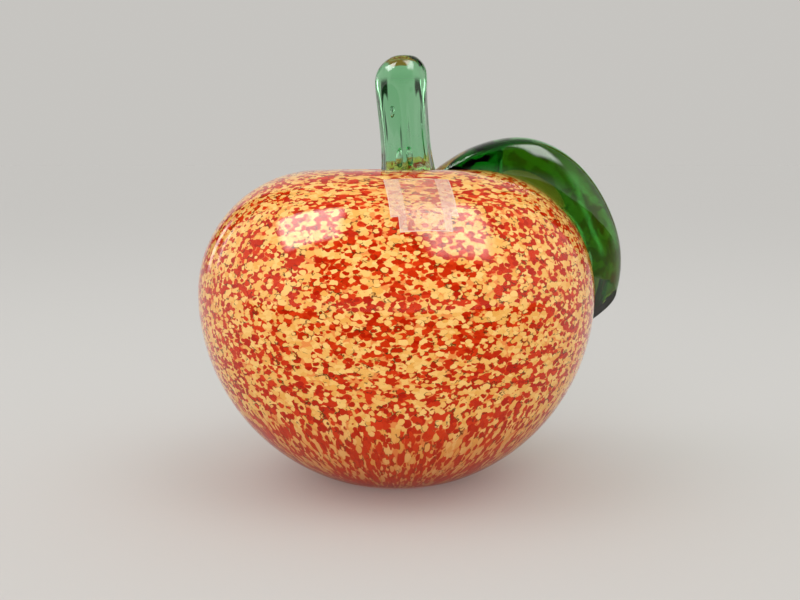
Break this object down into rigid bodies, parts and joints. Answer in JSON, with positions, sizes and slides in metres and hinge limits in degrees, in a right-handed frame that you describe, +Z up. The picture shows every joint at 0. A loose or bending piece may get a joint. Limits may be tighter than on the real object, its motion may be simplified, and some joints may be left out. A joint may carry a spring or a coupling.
{
  "type": "glass apple paperweight",
  "caption": "Solid glass apple ornament: a speckled red and cream layer cased in clear glass, a green glass stem and a thick green leaf over one shoulder, on a ground flat base.",
  "frame": {"origin": "Centre of the ground flat that the apple stands on, on the axis of its round body.", "axes": "+Z is up along the axis of the round body, -Y is the front that carries the label, +X is the side that the leaf hangs over."},
  "size_m": [0.0932, 0.085, 0.0917],
  "materials": {
    "clear_glass": "fire-polished clear glass, ground and polished on the base",
    "speckled_glass": "opaque red and cream glass chips melted into one layer",
    "pale_green_glass": "clear pale green glass, fire-polished",
    "green_glass": "clear deep green glass, fire-polished",
    "clear_film": "clear self-adhesive film, bare, slightly hazy"
  },
  "bodies": {
    "root": {"clear_core": "clear_glass", "colour_layer": "speckled_glass", "clear_casing": "clear_glass", "stem": "pale_green_glass", "leaf": "green_glass", "label_film": "clear_film"}
  },
  "joints": []
}
